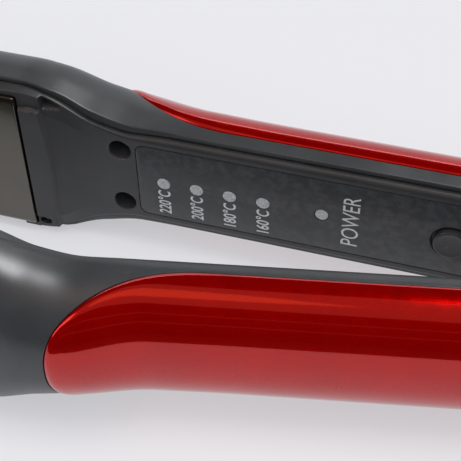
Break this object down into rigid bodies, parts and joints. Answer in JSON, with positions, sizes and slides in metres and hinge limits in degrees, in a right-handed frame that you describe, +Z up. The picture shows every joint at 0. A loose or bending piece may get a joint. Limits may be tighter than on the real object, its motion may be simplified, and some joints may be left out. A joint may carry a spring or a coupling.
{
  "type": "hair straightener",
  "caption": "Wide-plate hair straightener lying on its side, part open: two hinged arms with flat heated plates, glossy grip covers, indicator lamps and a power button.",
  "frame": {"origin": "centre of the bounding box's base, where the iron lies on its side on a table", "axes": "+X along the iron's length from the tips to the hinge and tail, midway between the two open arms; +Y from the near arm to the far arm, which has the controls; +Z up, along the hinge pin"},
  "size_m": [0.3047, 0.0926, 0.043],
  "materials": {
    "dark_soft_plastic": "dark grey soft-touch paint on moulded plastic, very slightly mottled",
    "inner_plastic": "near-black moulded plastic, fine satin texture",
    "panel_plastic": "near-black smooth satin panel",
    "gloss_black": "gloss black moulded plastic",
    "red_lacquer": "deep red candy lacquer under clear gloss",
    "plate_coating": "polished aluminium under an olive-grey titanium-ceramic coating",
    "steel": "plain steel",
    "ceramic": "off-white ceramic",
    "silicone": "red-brown silicone rubber",
    "mica": "tan mica sheet",
    "board_laminate": "green glass-fibre laminate",
    "light_lens": "frosted pale grey lens, unlit; also the pale print of the numbers",
    "button_plastic": "black satin-gloss moulded plastic",
    "switch_plastic": "black plastic",
    "wire_sleeve": "pale silicone-glass sleeve"
  },
  "bodies": {
    "near_arm": {"near_outer_shell": "dark_soft_plastic", "near_red_cover": "red_lacquer", "near_inner_cover": "inner_plastic", "near_plate_cushion_rear": "silicone", "near_plate_cushion_front": "silicone", "near_heat_shield": "mica", "near_cover_screw_upper": "steel", "near_cover_screw_lower": "steel", "near_heater_lead": "wire_sleeve", "hinge_yoke": "dark_soft_plastic", "hinge_pin": "steel", "hinge_spring": "steel", "hinge_cap_upper": "gloss_black", "hinge_cap_lower": "gloss_black"},
    "far_arm": {"far_outer_shell": "dark_soft_plastic", "far_red_cover": "red_lacquer", "far_inner_cover": "inner_plastic", "far_plate_cushion_rear": "silicone", "far_plate_cushion_front": "silicone", "far_heat_shield": "mica", "far_cover_screw_upper": "steel", "far_cover_screw_lower": "steel", "far_heater_lead": "wire_sleeve", "hinge_barrel": "dark_soft_plastic", "control_panel": "panel_plastic", "circuit_board": "board_laminate", "button_switch": "switch_plastic", "thermal_fuse": "steel", "led_220": "light_lens", "led_200": "light_lens", "led_180": "light_lens", "led_160": "light_lens", "led_power": "light_lens"},
    "near_plate_unit": {"near_plate": "plate_coating", "near_heater": "ceramic", "near_heater_clamp": "steel"},
    "far_plate_unit": {"far_plate": "plate_coating", "far_heater": "ceramic", "far_heater_clamp": "steel", "thermistor": "ceramic"},
    "power_button": {"power_button": "button_plastic"},
    "cord_gland": {"cord_gland": "gloss_black"}
  },
  "joints": [
    {"name": "arm_hinge", "type": "hinge", "parent": "near_arm", "child": "far_arm", "pos_m": [0.12288, 0, 0.0215], "axis": [0, 0, 1], "range_deg": [0, 11.09], "stiffness_Nm_per_rad": 1, "springref_deg": -22.92, "deforming": ["hinge_spring"]},
    {"name": "near_plate_float", "type": "slide", "parent": "near_arm", "child": "near_plate_unit", "axis": [0.0966, -0.9953, 0], "range_m": [0, 0.0008], "stiffness_N_per_m": 4000, "springref_m": -0.001},
    {"name": "far_plate_float", "type": "slide", "parent": "far_arm", "child": "far_plate_unit", "axis": [0.0966, 0.9953, 0], "range_m": [0, 0.0008], "stiffness_N_per_m": 4000, "springref_m": -0.001},
    {"name": "power_button_press", "type": "slide", "parent": "far_arm", "child": "power_button", "axis": [0.0966, 0.9953, 0], "range_m": [0, 0.0005], "stiffness_N_per_m": 2000, "springref_m": -0.0003},
    {"name": "cord_gland_swivel", "type": "hinge", "parent": "near_arm", "child": "cord_gland", "pos_m": [0.14478, 0.00213, 0.0215], "axis": [0.9953, 0.0966, 0], "continuous": true}
  ]
}
